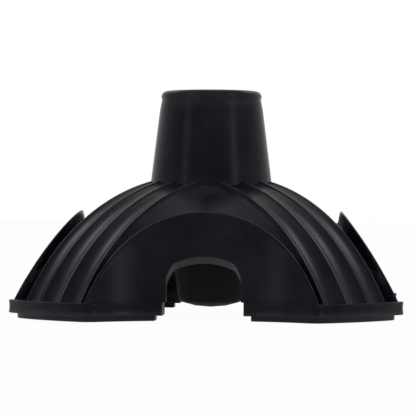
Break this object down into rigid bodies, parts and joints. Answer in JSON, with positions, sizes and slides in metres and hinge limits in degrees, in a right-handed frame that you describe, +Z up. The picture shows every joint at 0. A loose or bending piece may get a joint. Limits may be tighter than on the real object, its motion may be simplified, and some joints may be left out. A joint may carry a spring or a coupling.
{
  "type": "cane stabilizer base",
  "caption": "One-piece moulded rubber cane base: a tapered socket collar on a fluted dome that comes down to flanged feet, with an arched opening in each hollowed side.",
  "frame": {"origin": "on the floor, under the centre of the collar", "axes": "+Z up along the socket, +X and +Y through two neighbouring hollowed sides, so the feet lie between the axes"},
  "size_m": [0.11, 0.11, 0.0638],
  "materials": {
    "rubber": "satin black moulded rubber"
  },
  "bodies": {
    "root": {"cane_base": "rubber"}
  },
  "joints": []
}
